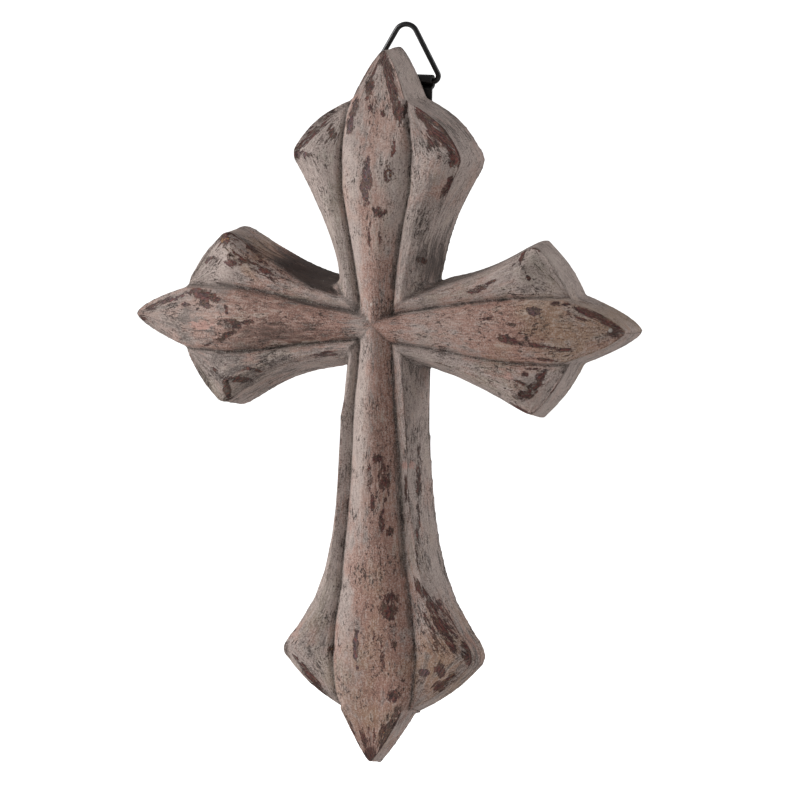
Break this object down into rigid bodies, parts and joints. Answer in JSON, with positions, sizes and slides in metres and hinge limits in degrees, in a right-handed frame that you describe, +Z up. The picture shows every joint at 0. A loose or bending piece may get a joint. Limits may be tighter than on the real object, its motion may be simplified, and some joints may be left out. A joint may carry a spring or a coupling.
{
  "type": "wall cross",
  "caption": "Carved wooden wall cross with flared arms, a ridged petal along each arm and grooved side lobes, worn grey-pink paint and a wire hanging ring on its flat back.",
  "frame": {"origin": "on the flat back, behind the middle of the crossing", "axes": "+Y out of the back towards the wall, +Z up to the top arm's tip, +X to the right of a viewer who faces the carved front"},
  "size_m": [0.188, 0.0303, 0.2657],
  "materials": {
    "worn_painted_wood": "distressed grey and pink paint over dark wood, matte",
    "black_strap": "satin black paint",
    "black_wire": "satin black paint",
    "black_screw": "satin black paint"
  },
  "bodies": {
    "cross": {"cross": "worn_painted_wood", "hanger_strap": "black_strap", "hanger_screw": "black_screw"},
    "ring": {"hanging_ring": "black_wire"}
  },
  "joints": [
    {"name": "ring_swing", "type": "hinge", "parent": "cross", "child": "ring", "pos_m": [0.0013, 0.00225, 0.08597], "axis": [1, 0, 0], "range_deg": [-150, 40]}
  ]
}
